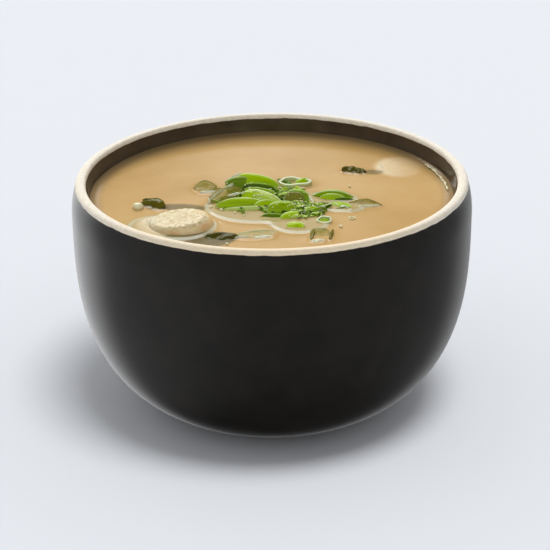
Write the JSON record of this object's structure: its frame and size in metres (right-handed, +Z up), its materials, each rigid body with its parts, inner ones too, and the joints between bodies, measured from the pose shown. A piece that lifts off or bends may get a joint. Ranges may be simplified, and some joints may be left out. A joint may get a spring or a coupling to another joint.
{
  "type": "miso soup in a bowl",
  "caption": "Deep round stoneware bowl filled with cloudy miso soup, with a heap of cut spring onion, folds of wakame and round slices of wheat gluten floating in it.",
  "frame": {"origin": "middle of the bowl's foot, on the surface it stands on", "axes": "+Z up; -Y is the front and +X the right; the gluten slice with the toasted side lies front left and the sunken one back right"},
  "size_m": [0.125, 0.125, 0.0755],
  "materials": {
    "glaze": "satin black glaze outside, gloss inside, bare cream lip",
    "broth": "wet, cloudy",
    "gluten": "moist, porous",
    "wakame": "wet, translucent",
    "onion": "wet, translucent"
  },
  "bodies": {
    "root": {"bowl": "glaze", "broth": "broth", "gluten_front": "gluten", "gluten_back": "gluten", "wakame_left": "wakame", "wakame_front": "wakame", "wakame_back": "wakame", "onion_heap": "onion", "onion_slice_1": "onion", "onion_slice_2": "onion", "onion_slice_3": "onion", "onion_slice_4": "onion", "onion_slice_5": "onion", "onion_slice_6": "onion", "onion_slice_7": "onion", "onion_slice_8": "onion", "onion_slice_9": "onion"}
  },
  "joints": []
}
